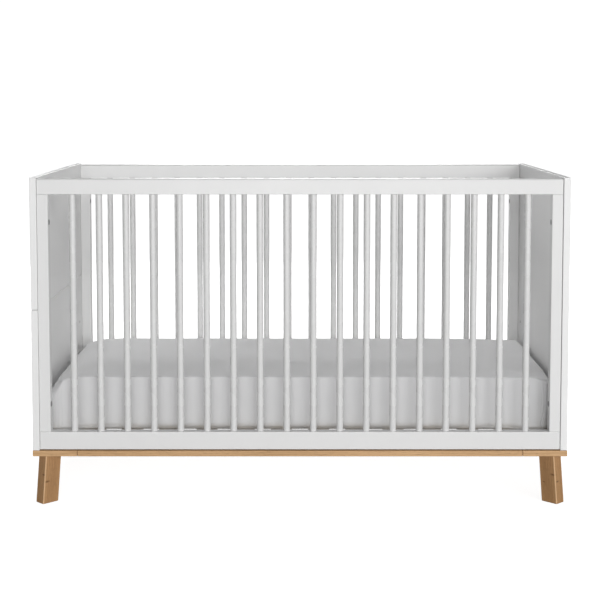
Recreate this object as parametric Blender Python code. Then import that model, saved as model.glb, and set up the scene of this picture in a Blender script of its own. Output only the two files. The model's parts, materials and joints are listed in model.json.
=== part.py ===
"""Baby crib: two end panels, two barred sides, a plinth on four splayed legs, a slatted base, a mattress.

Metres, +Z up. The origin is on the floor under the middle of the crib and the front faces -Y.
Pieces that touch keep a gap of CONTACT_GAP, because each one is a closed solid of its own.
"""

import math

import bmesh
import bpy
from mathutils import Matrix, Vector

# The whole crib
LENGTH = 1.446  # over the two end panels
DEPTH = 0.771  # of an end panel
PANEL_TOP = 0.891
CONTACT_GAP = 0.0003

# End panels
PANEL_THICKNESS = 0.018
PANEL_EDGE = 0.0012  # rounding of a panel's edges
SEAM_HEIGHT = 0.534  # where the left panel splits
SEAM_GAP = 0.0010

# Plinth and legs
PLINTH_TOP = 0.150
PLINTH_THICKNESS = 0.016
PLINTH_PROUD = 0.0010  # past the end panels, all round
PLINTH_END_BOARD = 0.120
PLINTH_SIDE_BOARD = 0.070
PLINTH_EDGE = 0.0010
LEG_WIDE = 0.050  # along the diagonal towards the crib's middle
LEG_NARROW = 0.034
LEG_SPLAY = 0.0086  # outwards in X and in Y, from the top to the floor
LEG_FOOT_X = 0.6918
LEG_FOOT_Y = 0.3568
LEG_EDGE = 0.0010

# Barred sides
FRAME_THICKNESS = 0.030
FRAME_END_GAP = 0.0015  # between a side and an end panel
FRAME_INSET = 0.0020  # of a side's face behind the end panels' edges
FRAME_LIFT = 0.0027  # of a side above the plinth
FRAME_TOP = 0.8875
TOP_RAIL_HEIGHT = 0.042
BOTTOM_RAIL_HEIGHT = 0.0485
STILE_WIDTH = 0.029
RAIL_ROUNDING = 0.005
RAIL_EASING = 0.0015  # of the long edges that meet the stiles
RUNG_COUNT = 18
RUNG_DIAMETER = 0.018
RUNG_SIDES = 16
RUNG_SEAT = 0.012  # depth of a rung's end in a rail
RUNG_CLEARANCE = 0.0004
TENON_LENGTH = 0.012
TENON_SECTION = (0.015, 0.014)
BOLT_HOLE_DIAMETER = 0.007
BOLT_HOLE_DEPTH = 0.012  # into an end panel
BOLT_HEIGHTS = (0.275, 0.770)

# Slatted base
BASE_BOTTOM = 0.155
BASE_END_GAP = 0.0025
BASE_SIDE_GAP = 0.0030
BEARER_HEIGHT = 0.024
BEARER_THICKNESS = 0.022
SLAT_COUNT = 14
SLAT_WIDTH = 0.060
SLAT_THICKNESS = 0.008
TAPE_WIDTH = 0.025
TAPE_THICKNESS = 0.0010
TAPE_SUNK = 0.0005
TAPE_OFFSET = 0.190  # of each tape from the middle

# Mattress
MATTRESS_LENGTH = 1.384
MATTRESS_WIDTH = 0.650
MATTRESS_TOP = 0.3413
MATTRESS_SHIFT = 0.002  # towards +X
MATTRESS_CORNER = 0.040
MATTRESS_EDGE = 0.015

PANEL_INNER = LENGTH / 2 - PANEL_THICKNESS
FRAME_HALF_LENGTH = PANEL_INNER - FRAME_END_GAP
FRAME_MIDDLE_Y = DEPTH / 2 - FRAME_INSET - FRAME_THICKNESS / 2
STILE_INNER = FRAME_HALF_LENGTH - STILE_WIDTH
FRAME_BOTTOM = PLINTH_TOP + FRAME_LIFT
TOP_RAIL_BOTTOM = FRAME_TOP - TOP_RAIL_HEIGHT
BOTTOM_RAIL_TOP = FRAME_BOTTOM + BOTTOM_RAIL_HEIGHT
RUNG_PITCH = (2 * STILE_INNER + RUNG_DIAMETER) / (RUNG_COUNT + 1)
PLINTH_BOTTOM = PLINTH_TOP - PLINTH_THICKNESS
SLAT_BOTTOM = BASE_BOTTOM + BEARER_HEIGHT + CONTACT_GAP
SLAT_TOP = SLAT_BOTTOM + SLAT_THICKNESS
DECK_TOP = SLAT_TOP - TAPE_SUNK + TAPE_THICKNESS
BASE_HALF_LENGTH = PANEL_INNER - BASE_END_GAP
BASE_HALF_DEPTH = FRAME_MIDDLE_Y - FRAME_THICKNESS / 2 - BASE_SIDE_GAP


def clear_scene():
    for old in list(bpy.data.objects):
        bpy.data.objects.remove(old)


def make_material(name, colour, roughness, metallic=0.0):
    material = bpy.data.materials.new(name)
    material.use_nodes = True
    shader = material.node_tree.nodes["Principled BSDF"]
    shader.inputs["Base Color"].default_value = (*colour, 1.0)
    shader.inputs["Roughness"].default_value = roughness
    shader.inputs["Metallic"].default_value = metallic
    material.diffuse_color = (*colour, 1.0)
    return material


def make_group(name, location=(0, 0, 0)):
    """An empty that the pieces of one rigid body are parented to."""
    empty = bpy.data.objects.new(name, None)
    empty.location = location
    bpy.context.collection.objects.link(empty)
    return empty


def make_object(name, bm, material, group=None, location=(0, 0, 0)):
    bmesh.ops.recalc_face_normals(bm, faces=bm.faces)
    mesh = bpy.data.meshes.new(name)
    bm.to_mesh(mesh)
    bm.free()
    return place_mesh(name, mesh, material, group, location)


def place_mesh(name, mesh, material, group=None, location=(0, 0, 0)):
    """An object at a place in the world, parented to its group."""
    piece = bpy.data.objects.new(name, mesh)
    if not mesh.materials:
        mesh.materials.append(material)
    piece.location = location
    bpy.context.collection.objects.link(piece)
    if group:
        piece.parent = group
        piece.matrix_parent_inverse = Matrix.Translation(-group.location)
    return piece


def round_edges(piece, width, segments=2, limit=30):
    bevel = piece.modifiers.new("rounded_edges", "BEVEL")
    bevel.width = width
    bevel.segments = segments
    bevel.limit_method = "ANGLE"
    bevel.angle_limit = math.radians(limit)
    return piece


def cut(piece, cutter):
    boolean = piece.modifiers.new("cut_" + cutter.name, "BOOLEAN")
    boolean.object = cutter
    boolean.operation = "DIFFERENCE"
    return piece


def make_helper(name, bm):
    """A solid that only cuts or joins other pieces."""
    helper = make_object(name, bm, None)
    helper.hide_render = True
    helper.display_type = "WIRE"
    return helper


def add_box(bm, low, high):
    """A box between two corners, added to a bmesh."""
    low, high = Vector(low), Vector(high)
    size = high - low
    matrix = Matrix.Translation((low + high) / 2) @ Matrix.Diagonal((*size, 1))
    bmesh.ops.create_cube(bm, size=1, matrix=matrix)


def add_rod(bm, start, end, diameter, sides):
    """A round bar between two points, added to a bmesh."""
    start, end = Vector(start), Vector(end)
    along = end - start
    turn = along.to_track_quat("Z", "Y").to_matrix().to_4x4()
    bmesh.ops.create_cone(
        bm,
        cap_ends=True,
        segments=sides,
        radius1=diameter / 2,
        radius2=diameter / 2,
        depth=along.length,
        matrix=Matrix.Translation((start + end) / 2) @ turn,
    )


def board(name, low, high, edge, material, group):
    """A flat board with softened edges. Its origin is its middle."""
    low, high = Vector(low), Vector(high)
    middle = (low + high) / 2
    bm = bmesh.new()
    add_box(bm, low - middle, high - middle)
    return round_edges(make_object(name, bm, material, group, middle), edge)


def rounded_rectangle(half_width, half_height, radii, segments):
    """Outline with a round at each corner, from the lower left, counter-clockwise."""
    corners = ((-1, -1, 180), (1, -1, 270), (1, 1, 0), (-1, 1, 90))
    outline = []
    for (side_x, side_y, start), radius in zip(corners, radii):
        centre_x = side_x * (half_width - radius)
        centre_y = side_y * (half_height - radius)
        for step in range(segments + 1):
            angle = math.radians(start + 90 * step / segments)
            outline.append((centre_x + radius * math.cos(angle), centre_y + radius * math.sin(angle)))
    return outline


def extrude_outline(points, along):
    """A bmesh prism: a face through the points, pushed along a vector."""
    bm = bmesh.new()
    face = bm.faces.new([bm.verts.new(point) for point in points])
    pushed = bmesh.ops.extrude_face_region(bm, geom=[face])
    moved = [item for item in pushed["geom"] if isinstance(item, bmesh.types.BMVert)]
    bmesh.ops.translate(bm, verts=moved, vec=along)
    return bm


# End panels


def end_panel(name, side, bottom, top, material, group):
    inner, outer = sorted((side * PANEL_INNER, side * LENGTH / 2))
    low = (inner, -DEPTH / 2, bottom)
    high = (outer, DEPTH / 2, top)
    return board(name, low, high, PANEL_EDGE, material, group)


# Plinth and legs


def plinth(material, group):
    """Two end boards as deep as the crib, with a front and a back board between them."""
    outer_x = LENGTH / 2 + PLINTH_PROUD
    outer_y = DEPTH / 2 + PLINTH_PROUD
    inner_x = outer_x - PLINTH_END_BOARD
    bottom, top = PLINTH_BOTTOM + CONTACT_GAP, PLINTH_TOP
    for name, side in (("left", -1), ("right", 1)):
        near, far = sorted((side * inner_x, side * outer_x))
        low, high = (near, -outer_y, bottom), (far, outer_y, top)
        board(f"plinth_{name}_board", low, high, PLINTH_EDGE, material, group)
    reach = inner_x - CONTACT_GAP
    for name, side in (("front", -1), ("back", 1)):
        near, far = sorted((side * (outer_y - PLINTH_SIDE_BOARD), side * outer_y))
        low, high = (-reach, near, bottom), (reach, far, top)
        board(f"plinth_{name}_board", low, high, PLINTH_EDGE, material, group)


def leg(name, side_x, side_y, material, group):
    """A flat bar set on the diagonal, leaning outwards, cut level at both ends."""
    inwards = Vector((-side_x, -side_y, 0)).normalized()
    across = Vector((-inwards.y, inwards.x, 0))
    lean = Vector((-side_x * LEG_SPLAY, -side_y * LEG_SPLAY, PLINTH_BOTTOM))
    corners = []
    for along, sideways in ((-1, -1), (1, -1), (1, 1), (-1, 1)):
        corners.append(inwards * along * LEG_WIDE / 2 + across * sideways * LEG_NARROW / 2)
    foot = (side_x * LEG_FOOT_X, side_y * LEG_FOOT_Y, 0)
    piece = make_object(name, extrude_outline(corners, lean), material, group, foot)
    return round_edges(piece, LEG_EDGE)


# Barred sides


def rail(name, bottom, top, middle_y, radii, material, group):
    """A bar along X with rounded long edges. radii runs counter-clockwise from the low, near edge."""
    half_height = (top - bottom) / 2
    outline = rounded_rectangle(FRAME_THICKNESS / 2, half_height, radii, 4)
    points = [(-FRAME_HALF_LENGTH, y, z) for y, z in outline]
    bm = extrude_outline(points, (2 * FRAME_HALF_LENGTH, 0, 0))
    return make_object(name, bm, material, group, (0, middle_y, (bottom + top) / 2))


def stile(name, side, middle_y, material, group):
    """An upright between the rails, with a stub tenon at each end."""
    middle_x = side * (FRAME_HALF_LENGTH - STILE_WIDTH / 2)
    middle_z = (BOTTOM_RAIL_TOP + TOP_RAIL_BOTTOM) / 2
    half_height = (TOP_RAIL_BOTTOM - BOTTOM_RAIL_TOP) / 2 - CONTACT_GAP
    bm = bmesh.new()
    half = Vector((STILE_WIDTH / 2, FRAME_THICKNESS / 2, half_height))
    add_box(bm, -half, half)
    tip = Vector((TENON_SECTION[0] / 2, TENON_SECTION[1] / 2, half_height + TENON_LENGTH))
    tenon = bmesh.new()
    add_box(tenon, -tip, tip)
    piece = make_object(name, bm, material, group, (middle_x, middle_y, middle_z))
    core = make_helper("tenon_of_" + name, tenon)
    core.location = piece.location
    union = piece.modifiers.new("tenons", "BOOLEAN")
    union.object = core
    union.operation = "UNION"
    return piece


def joint_cutter(name, middle_y):
    """Seats for the rungs and mortises for the stiles, cut into both rails of one side."""
    bm = bmesh.new()
    low = BOTTOM_RAIL_TOP - RUNG_SEAT - RUNG_CLEARANCE
    high = TOP_RAIL_BOTTOM + RUNG_SEAT + RUNG_CLEARANCE
    for x in rung_places():
        start, end = (x, middle_y, low), (x, middle_y, high)
        add_rod(bm, start, end, RUNG_DIAMETER + 2 * RUNG_CLEARANCE, RUNG_SIDES)
    half_x = TENON_SECTION[0] / 2 + RUNG_CLEARANCE
    half_y = TENON_SECTION[1] / 2 + RUNG_CLEARANCE
    for side in (-1, 1):
        x = side * (FRAME_HALF_LENGTH - STILE_WIDTH / 2)
        add_box(bm, (x - half_x, middle_y - half_y, low), (x + half_x, middle_y + half_y, high))
    return make_helper(name, bm)


def bolt_cutter():
    """Holes through every stile and on into the end panels."""
    bm = bmesh.new()
    for side in (-1, 1):
        start = side * (STILE_INNER - BOLT_HOLE_DEPTH)
        end = side * (PANEL_INNER + BOLT_HOLE_DEPTH)
        for y in (-FRAME_MIDDLE_Y, FRAME_MIDDLE_Y):
            for z in BOLT_HEIGHTS:
                add_rod(bm, (start, y, z), (end, y, z), BOLT_HOLE_DIAMETER, 12)
    return make_helper("bolt_holes", bm)


def rung_places():
    return [-STILE_INNER - RUNG_DIAMETER / 2 + RUNG_PITCH * i for i in range(1, RUNG_COUNT + 1)]


def rung_mesh(material):
    half = (TOP_RAIL_BOTTOM - BOTTOM_RAIL_TOP) / 2 + RUNG_SEAT
    bm = bmesh.new()
    add_rod(bm, (0, 0, -half), (0, 0, half), RUNG_DIAMETER, RUNG_SIDES)
    mesh = bpy.data.meshes.new("rung")
    bm.to_mesh(mesh)
    bm.free()
    mesh.shade_smooth()
    mesh.set_sharp_from_angle(angle=math.radians(40))
    mesh.materials.append(material)
    return mesh


def barred_side(name, middle_y, rung, bolt_holes, material, group):
    """Two rails, two stiles and the rungs of one long side."""
    seats = joint_cutter(name + "_seats", middle_y)
    eased, rounded = RAIL_EASING, RAIL_ROUNDING
    upper = (eased, eased, rounded, rounded)
    lower = (eased, eased, eased, eased)
    top_rail = rail(name + "_top_rail", TOP_RAIL_BOTTOM, FRAME_TOP, middle_y, upper, material, group)
    bottom_rail = rail(
        name + "_bottom_rail", FRAME_BOTTOM, BOTTOM_RAIL_TOP, middle_y, lower, material, group
    )
    cut(top_rail, seats)
    cut(bottom_rail, seats)
    for end, side in (("left", -1), ("right", 1)):
        cut(stile(f"{name}_{end}_stile", side, middle_y, material, group), bolt_holes)
    middle_z = (BOTTOM_RAIL_TOP + TOP_RAIL_BOTTOM) / 2
    for number, x in enumerate(rung_places(), start=1):
        place_mesh(f"{name}_rung_{number:02d}", rung, material, group, (x, middle_y, middle_z))


# Slatted base


def bearer(name, side, material, group):
    near, far = sorted((side * (BASE_HALF_DEPTH - BEARER_THICKNESS), side * BASE_HALF_DEPTH))
    low = (-BASE_HALF_LENGTH, near, BASE_BOTTOM)
    high = (BASE_HALF_LENGTH, far, BASE_BOTTOM + BEARER_HEIGHT)
    return board(name, low, high, 0.002, material, group)


def slat_deck(material, group):
    """Cross slats held at their pitch by two webbing tapes, as one mat."""
    pitch = (2 * BASE_HALF_LENGTH - SLAT_WIDTH) / (SLAT_COUNT - 1)
    slats = bmesh.new()
    for i in range(SLAT_COUNT):
        x = -BASE_HALF_LENGTH + i * pitch
        add_box(slats, (x, -BASE_HALF_DEPTH, SLAT_BOTTOM), (x + SLAT_WIDTH, BASE_HALF_DEPTH, SLAT_TOP))
    tapes = bmesh.new()
    reach = BASE_HALF_LENGTH - SLAT_WIDTH / 4
    for y in (-TAPE_OFFSET, TAPE_OFFSET):
        low = (-reach, y - TAPE_WIDTH / 2, SLAT_TOP - TAPE_SUNK)
        add_box(tapes, low, (reach, y + TAPE_WIDTH / 2, DECK_TOP))
    deck = make_object("slat_deck", slats, material, group)
    union = deck.modifiers.new("tapes", "BOOLEAN")
    union.object = make_helper("webbing_tapes", tapes)
    union.operation = "UNION"
    return deck


# Mattress


def mattress(material, group):
    bottom = DECK_TOP + CONTACT_GAP
    radii = [MATTRESS_CORNER] * 4
    outline = rounded_rectangle(MATTRESS_LENGTH / 2, MATTRESS_WIDTH / 2, radii, 6)
    bm = extrude_outline([(x, y, 0) for x, y in outline], (0, 0, MATTRESS_TOP - bottom))
    piece = make_object("mattress", bm, material, group, (MATTRESS_SHIFT, 0, bottom))
    return round_edges(piece, MATTRESS_EDGE, segments=3)


def main():
    clear_scene()
    lacquer = make_material("white_lacquer", (0.80, 0.80, 0.79), 0.38)
    oak = make_material("oak", (0.56, 0.37, 0.21), 0.5)
    slat_wood = make_material("slat_wood", (0.72, 0.58, 0.40), 0.6)
    cloth = make_material("mattress_cloth", (0.50, 0.50, 0.50), 0.9)

    carcass = make_group("carcass_parts")
    front = make_group("front_side_slide", (0, -FRAME_MIDDLE_Y, FRAME_BOTTOM))
    foot_panel = make_group("upper_foot_panel_slide", (-PANEL_INNER, 0, SEAM_HEIGHT))
    base = make_group("mattress_base_slide", (0, 0, BASE_BOTTOM))
    pad = make_group("mattress_slide", (MATTRESS_SHIFT, 0, DECK_TOP))

    bolt_holes = bolt_cutter()
    foot = PLINTH_TOP + CONTACT_GAP
    seam_low, seam_high = SEAM_HEIGHT - SEAM_GAP / 2, SEAM_HEIGHT + SEAM_GAP / 2
    cut(end_panel("right_end_panel", 1, foot, PANEL_TOP, lacquer, carcass), bolt_holes)
    cut(end_panel("left_end_panel_lower", -1, foot, seam_low, lacquer, carcass), bolt_holes)
    cut(end_panel("left_end_panel_upper", -1, seam_high, PANEL_TOP, lacquer, foot_panel), bolt_holes)

    rung = rung_mesh(lacquer)
    barred_side("front", -FRAME_MIDDLE_Y, rung, bolt_holes, lacquer, front)
    barred_side("back", FRAME_MIDDLE_Y, rung, bolt_holes, lacquer, carcass)

    plinth(oak, carcass)
    for near, side_y in (("front", -1), ("back", 1)):
        for end, side_x in (("left", -1), ("right", 1)):
            leg(f"leg_{near}_{end}", side_x, side_y, oak, carcass)

    bearer("base_front_bearer", -1, slat_wood, base)
    bearer("base_back_bearer", 1, slat_wood, base)
    slat_deck(slat_wood, base)
    mattress(cloth, pad)


main()
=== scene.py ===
import json
import math

import bmesh
import bpy
import numpy as np
from mathutils import Matrix, Vector, noise


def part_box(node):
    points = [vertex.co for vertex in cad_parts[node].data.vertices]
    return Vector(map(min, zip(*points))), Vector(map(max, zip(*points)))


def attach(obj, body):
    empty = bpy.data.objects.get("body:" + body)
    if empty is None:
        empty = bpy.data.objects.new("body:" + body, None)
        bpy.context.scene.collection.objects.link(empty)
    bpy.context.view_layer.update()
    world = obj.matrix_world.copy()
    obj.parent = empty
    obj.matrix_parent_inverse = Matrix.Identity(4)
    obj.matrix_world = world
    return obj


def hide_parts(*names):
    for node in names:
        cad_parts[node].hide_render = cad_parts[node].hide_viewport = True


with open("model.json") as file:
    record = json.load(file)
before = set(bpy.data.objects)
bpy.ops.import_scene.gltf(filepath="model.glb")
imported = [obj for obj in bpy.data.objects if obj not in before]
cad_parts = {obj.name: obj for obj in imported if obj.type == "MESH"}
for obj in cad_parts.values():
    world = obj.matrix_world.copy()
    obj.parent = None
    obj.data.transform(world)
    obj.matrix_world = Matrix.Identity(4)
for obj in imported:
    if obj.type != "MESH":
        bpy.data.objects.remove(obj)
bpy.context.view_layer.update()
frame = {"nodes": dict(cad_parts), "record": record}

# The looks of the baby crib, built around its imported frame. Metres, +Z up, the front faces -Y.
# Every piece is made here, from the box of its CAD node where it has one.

# Camera, fitted to a straight-on view with upright verticals
CAMERA_PLACE = (0.0, -4.0281, 1.1085)
CAMERA_PITCH = 4.4  # degrees below the horizon
CAMERA_LENS = 82.09
CAMERA_SHIFT = -0.1650

# Edges and joints of the lacquered pieces
RAIL_ROUNDING = 0.005
BOARD_EDGE = 0.0015
STILE_EDGE = 0.0018
RUNG_COUNT = 18
RUNG_SIDES = 48
BORE_CLEARANCE = 0.0003
HARDWARE_SIDES = 32

# Fixings
SIDE_BOLT_HEIGHTS = (0.275, 0.770)
SIDE_BOLT_HEAD = 0.0150
SIDE_BOLT_RISE = 0.0018
SIDE_BOLT_SHANK = 0.0058
SIDE_BOLT_BITE = 0.010  # how far a bolt of the back side goes into the end panel
# How much nearer to the left and right end panel each side's ends come than in the CAD
SIDE_FIT = {"front": (0.0010, 0.0004), "back": (0.0012, 0.0012)}
BOLT_HOLE = 0.007
INSERT_DIAMETER = 0.010
INSERT_DEPTH = 0.012
DOWEL_PLACES = (-0.28, 0.28)  # y of the dowels between the two parts of the split panel
DOWEL_RADIUS = 0.004
DOWEL_LENGTH = 0.034
DOWEL_DEPTH = 0.0175  # that it stands in the lower board
DOWEL_BORE = 0.0084
DOWEL_BORE_DEPTH = 0.018
BASE_HEIGHTS = 3
BASE_STEP = 0.110  # between them
BASE_BOLT_Y = 0.310
BASE_BOLT_SIZES = (0.014, 0.0030, 0.0056, 0.0018)  # head, rise, shank and length
BRACKET_THICKNESS = 0.0020
BRACKET_REACH = 0.034
BRACKET_HEIGHT = 0.022
GLIDE_THICKNESS = 0.0015
GLIDE_RADIUS = 0.0110
SCREW_HEAD = 0.008
SCREW_LENGTH = 0.045
PLATE_SCREW_HEAD = 0.0075
PLATE_SCREW_LENGTH = 0.013
PLATE_SIZES = (0.066, 0.026, 0.0015)  # length, width and thickness
JOINT_GAP = 0.0008  # that the plinth's long boards stop short of the end boards, over the CAD gap
LEG_NODES = ("leg_front_left", "leg_front_right", "leg_back_left", "leg_back_right")
LEG_WIDE = 0.050
LEG_NARROW = 0.034
LEG_EDGE = 0.0022

# Slatted base
SLAT_COUNT = 14
SLAT_WIDTH = 0.060
SLAT_THICKNESS = 0.008
SLEEVE_WALL = 0.0012
TAPE_WIDTH = 0.025
TAPE_OFFSET = 0.190

# Mattress
MATTRESS_CORNER = 0.036
MATTRESS_LEFT_CORNER = 0.020
MATTRESS_FINE = 0.050  # width of the finely meshed ends
MATTRESS_CELL = 0.014  # of the mesh between them
MATTRESS_EDGE = 0.006
MATTRESS_LEFT_EDGE = 0.054
MATTRESS_RIGHT_EDGE = 0.014
MATTRESS_BOTTOM_EDGE = 0.023
MATTRESS_BOTTOM_CORNER = 0.009
# Past its CAD length, into the gap at each end
MATTRESS_LEFT_GROWTH = 0.012
MATTRESS_RIGHT_GROWTH = 0.004
MATTRESS_TUCK = 0.002  # how far the sides draw in at the bottom
MATTRESS_DRAW = 0.009  # how far the front draws back at its right end
SIMULATED_FRAMES = 20
SWELL_LIMIT = 0.004


# -------- materials


class Shader:
    """A node material. A value goes onto a socket, and a node's output is linked to it."""

    def __init__(self, name):
        self.material = bpy.data.materials.new(name)
        self.material.use_nodes = True
        self.tree = self.material.node_tree
        self.surface = self.tree.nodes["Principled BSDF"]

    def plug(self, node, inputs):
        for socket, value in inputs.items():
            if isinstance(value, bpy.types.NodeSocket):
                self.tree.links.new(value, node.inputs[socket])
            else:
                node.inputs[socket].default_value = value

    def node(self, kind, inputs, output=0, **settings):
        made = self.tree.nodes.new("ShaderNode" + kind)
        for name, value in settings.items():
            setattr(made, name, value)
        self.plug(made, inputs)
        return made.outputs[output]

    def place(self):
        return self.node("TexCoord", {}, output="Object")

    def attribute(self, name):
        return self.node("Attribute", {}, output="Vector", attribute_name=name)

    def vector(self, operation, first, second=(0, 0, 0)):
        return self.node("VectorMath", {0: first, 1: second}, operation=operation)

    def stretch(self, vector, factors):
        return self.vector("MULTIPLY", vector, factors)

    def length(self, vector):
        return self.node("VectorMath", {0: vector}, output="Value", operation="LENGTH")

    def noise(self, vector, scale=1.0, detail=2.0, roughness=0.5, output="Fac"):
        inputs = {"Vector": vector, "Scale": scale, "Detail": detail, "Roughness": roughness}
        return self.node("TexNoise", inputs, output=output)

    def math(self, operation, first, second=0.0, clamp=False):
        return self.node("Math", {0: first, 1: second}, operation=operation, use_clamp=clamp)

    def remap(self, value, low, high, to_low, to_high):
        inputs = {"Value": value, "From Min": low, "From Max": high, "To Min": to_low, "To Max": to_high}
        return self.node("MapRange", inputs)

    def blend(self, factor, first, second):
        """A colour between two colours."""
        inputs = {0: factor, 6: first, 7: second}
        return self.node("Mix", inputs, output=2, data_type="RGBA")

    def bump(self, height, strength, distance, normal=None):
        inputs = {"Height": height, "Strength": strength, "Distance": distance}
        if normal:
            inputs["Normal"] = normal
        return self.node("Bump", inputs)

    def finish(self, **sockets):
        self.plug(self.surface, {name.replace("_", " "): value for name, value in sockets.items()})
        return self.material


def colour(red, green, blue):
    return (red, green, blue, 1.0)


def lacquer(name, white, roughness):
    """White satin lacquer: a trace of orange peel and a roughness that wanders slightly."""
    s = Shader(name)
    place = s.place()
    low, high = (colour(tone, tone, tone * 0.996) for tone in (white - 0.017, white + 0.017))
    tone = s.blend(s.noise(place, 4.0, 3.0), low, high)
    peel = s.noise(place, 420.0, 2.0)
    sheen = s.remap(s.noise(place, 18.0, 4.0), 0.3, 0.7, roughness - 0.045, roughness + 0.045)
    return s.finish(Base_Color=tone, Roughness=sheen, Normal=s.bump(peel, 0.10, 0.0002))


def wood(name, light, dark, pore, ring_gap, knots=(), roughness=(0.46, 0.60), edge=None):
    """Wood along the X axis of the grain attribute: growth rings round a pith, fibres, pores and knots, and
    where edge is given, a painted highlight along the long edges.
    """
    light, dark, pore = (colour(*tone) for tone in (light, dark, pore))
    s = Shader(name)
    grain = s.attribute("grain")
    drift = s.noise(s.stretch(grain, (2.5, 16.0, 16.0)), 1.0, 3.0, output="Color")
    drift = s.vector("SUBTRACT", drift, (0.5, 0.5, 0.5))
    bent = s.vector("ADD", s.stretch(drift, (0.0, 0.016, 0.016)), grain)
    from_pith = s.vector("ADD", bent, (0.0, 0.055, 0.070))
    radius = s.length(s.stretch(from_pith, (0, 1, 1)))
    phase = s.math("MULTIPLY", radius, 2 * math.pi / ring_gap)
    mask = None
    for centre, size in knots:
        offset = s.vector("SUBTRACT", grain, centre)
        distance = s.length(s.stretch(offset, (2.6, 1.0, 1.0)))
        spot = s.remap(distance, size * 0.25, size, 1.0, 0.0)
        mask = spot if mask is None else s.math("MAXIMUM", mask, spot)
    if mask is not None:
        phase = s.math("ADD", phase, s.math("MULTIPLY", mask, 5.0))
    rings = s.remap(s.math("SINE", phase), -0.4, 1.0, 0.0, 1.0)
    fibre = s.noise(s.stretch(grain, (22.0, 850.0, 850.0)), 1.0, 3.0, 0.6)
    tone = s.noise(s.stretch(grain, (2.0, 22.0, 22.0)), 1.0, 4.0, 0.6)
    pores = s.remap(s.noise(s.stretch(grain, (70.0, 1700.0, 1700.0)), 1.0, 1.0), 0.60, 0.72, 0.0, 1.0)
    share = s.math("MULTIPLY", rings, 0.30)
    share = s.math("ADD", share, s.remap(fibre, 0.3, 0.7, 0.0, 0.38))
    share = s.math("ADD", share, s.remap(tone, 0.3, 0.7, -0.1, 0.42), clamp=True)
    surface = s.blend(share, light, dark)
    surface = s.blend(s.math("MULTIPLY", pores, 0.55), surface, pore)
    if mask is not None:
        surface = s.blend(s.math("MULTIPLY", mask, 0.8), surface, pore)
    # Where edge is given, a lighter band along the long edges: a painted highlight for the light that the
    # rounded edges catch
    if edge is not None:
        offset = s.vector("SUBTRACT", s.vector("ABSOLUTE", grain), edge)
        away = s.length(s.stretch(offset, (0, 1, 1)))
        surface = s.blend(s.remap(away, 0.0012, 0.0036, 0.75, 0.0), surface, PAINTED_EDGE_HIGHLIGHT)
    relief = s.math("SUBTRACT", s.math("MULTIPLY", fibre, 0.5), s.math("MULTIPLY", pores, 0.6))
    return s.finish(
        Base_Color=surface,
        Roughness=s.remap(fibre, 0.3, 0.7, *roughness),
        Normal=s.bump(relief, 0.35, 0.0003),
    )


def cover_fabric():
    """Fine knitted cotton: crossing threads in relief, light fuzz and a faint unevenness of tone."""
    s = Shader("mattress_cover")
    place = s.place()
    threads = None
    for axis in ("X", "Y", "Z"):
        inputs = {"Vector": place, "Scale": 330.0, "Distortion": 0.6, "Detail": 1.0}
        wave = s.node("TexWave", inputs, output="Fac", bands_direction=axis)
        threads = wave if threads is None else s.math("ADD", threads, wave)
    slub = s.noise(place, 900.0, 2.0)
    tone = s.blend(s.noise(place, 5.0, 3.0), colour(0.64, 0.64, 0.645), colour(0.68, 0.68, 0.685))
    tone = s.blend(s.remap(slub, 0.35, 0.65, 0.0, 0.10), tone, colour(0.53, 0.53, 0.535))
    weave = s.bump(threads, 0.12, 0.0002, s.bump(slub, 0.10, 0.0002))
    return s.finish(
        Base_Color=tone, Roughness=0.88, Sheen_Weight=0.18, Sheen_Roughness=0.45, Normal=weave
    )


def webbing():
    """Flat woven tape with ribs across it, lighter on the ribs and darker in the hollows between them:
    painted shade.
    """
    s = Shader("webbing")
    place = s.place()
    ribs = s.node("TexWave", {"Vector": place, "Scale": 150.0}, output="Fac", bands_direction="X")
    warp = s.node("TexWave", {"Vector": place, "Scale": 240.0}, output="Fac", bands_direction="Y")
    height = s.math("ADD", ribs, warp)
    # Darker where the relief is low: painted shade in the hollows between the ribs
    tone = s.blend(s.remap(height, 0.2, 1.8, 0.0, 1.0), colour(0.60, 0.59, 0.55), colour(0.82, 0.81, 0.77))
    return s.finish(Base_Color=tone, Roughness=0.9, Normal=s.bump(height, 0.4, 0.0003))


def metal(name, base, roughness, metallic=1.0):
    """Plated or blackened steel with fine brushing and a little uneven plating."""
    s = Shader(name)
    place = s.place()
    fine = s.noise(s.stretch(place, (300.0, 2200.0, 2200.0)), 1.0, 2.0)
    cloud = s.noise(place, 90.0, 3.0)
    darker = colour(*(channel * 0.8 for channel in base))
    tone = s.blend(cloud, colour(*base), darker)
    rough = s.remap(fine, 0.3, 0.7, roughness - 0.06, roughness + 0.08)
    return s.finish(
        Base_Color=tone, Metallic=metallic, Roughness=rough, Normal=s.bump(fine, 0.05, 0.0001)
    )


def felt():
    s = Shader("felt")
    place = s.place()
    fuzz = s.noise(place, 1400.0, 4.0, 0.7)
    tone = s.blend(fuzz, colour(0.20, 0.17, 0.14), colour(0.42, 0.37, 0.31))
    return s.finish(Base_Color=tone, Roughness=1.0, Sheen_Weight=0.3, Normal=s.bump(fuzz, 0.6, 0.0006))


def plastic():
    """Moulded white plastic with a fine spark-eroded grain."""
    s = Shader("white_plastic")
    place = s.place()
    tone = s.blend(s.noise(place, 30.0, 3.0), colour(0.80, 0.80, 0.79), colour(0.84, 0.84, 0.83))
    return s.finish(Base_Color=tone, Roughness=0.48, Normal=s.bump(s.noise(place, 2600.0), 0.12, 0.0001))


# The rungs are slightly greyer and glossier than the frames, and the end panels slightly whiter. The greyer
# rung tone is painted shade that darkens the rungs' sides, and the whiter panel tone is painted light on the
# panels' inner faces; the rungs' extra gloss is their own.
LACQUER = lacquer("white_lacquer", 0.793, 0.375)
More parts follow.
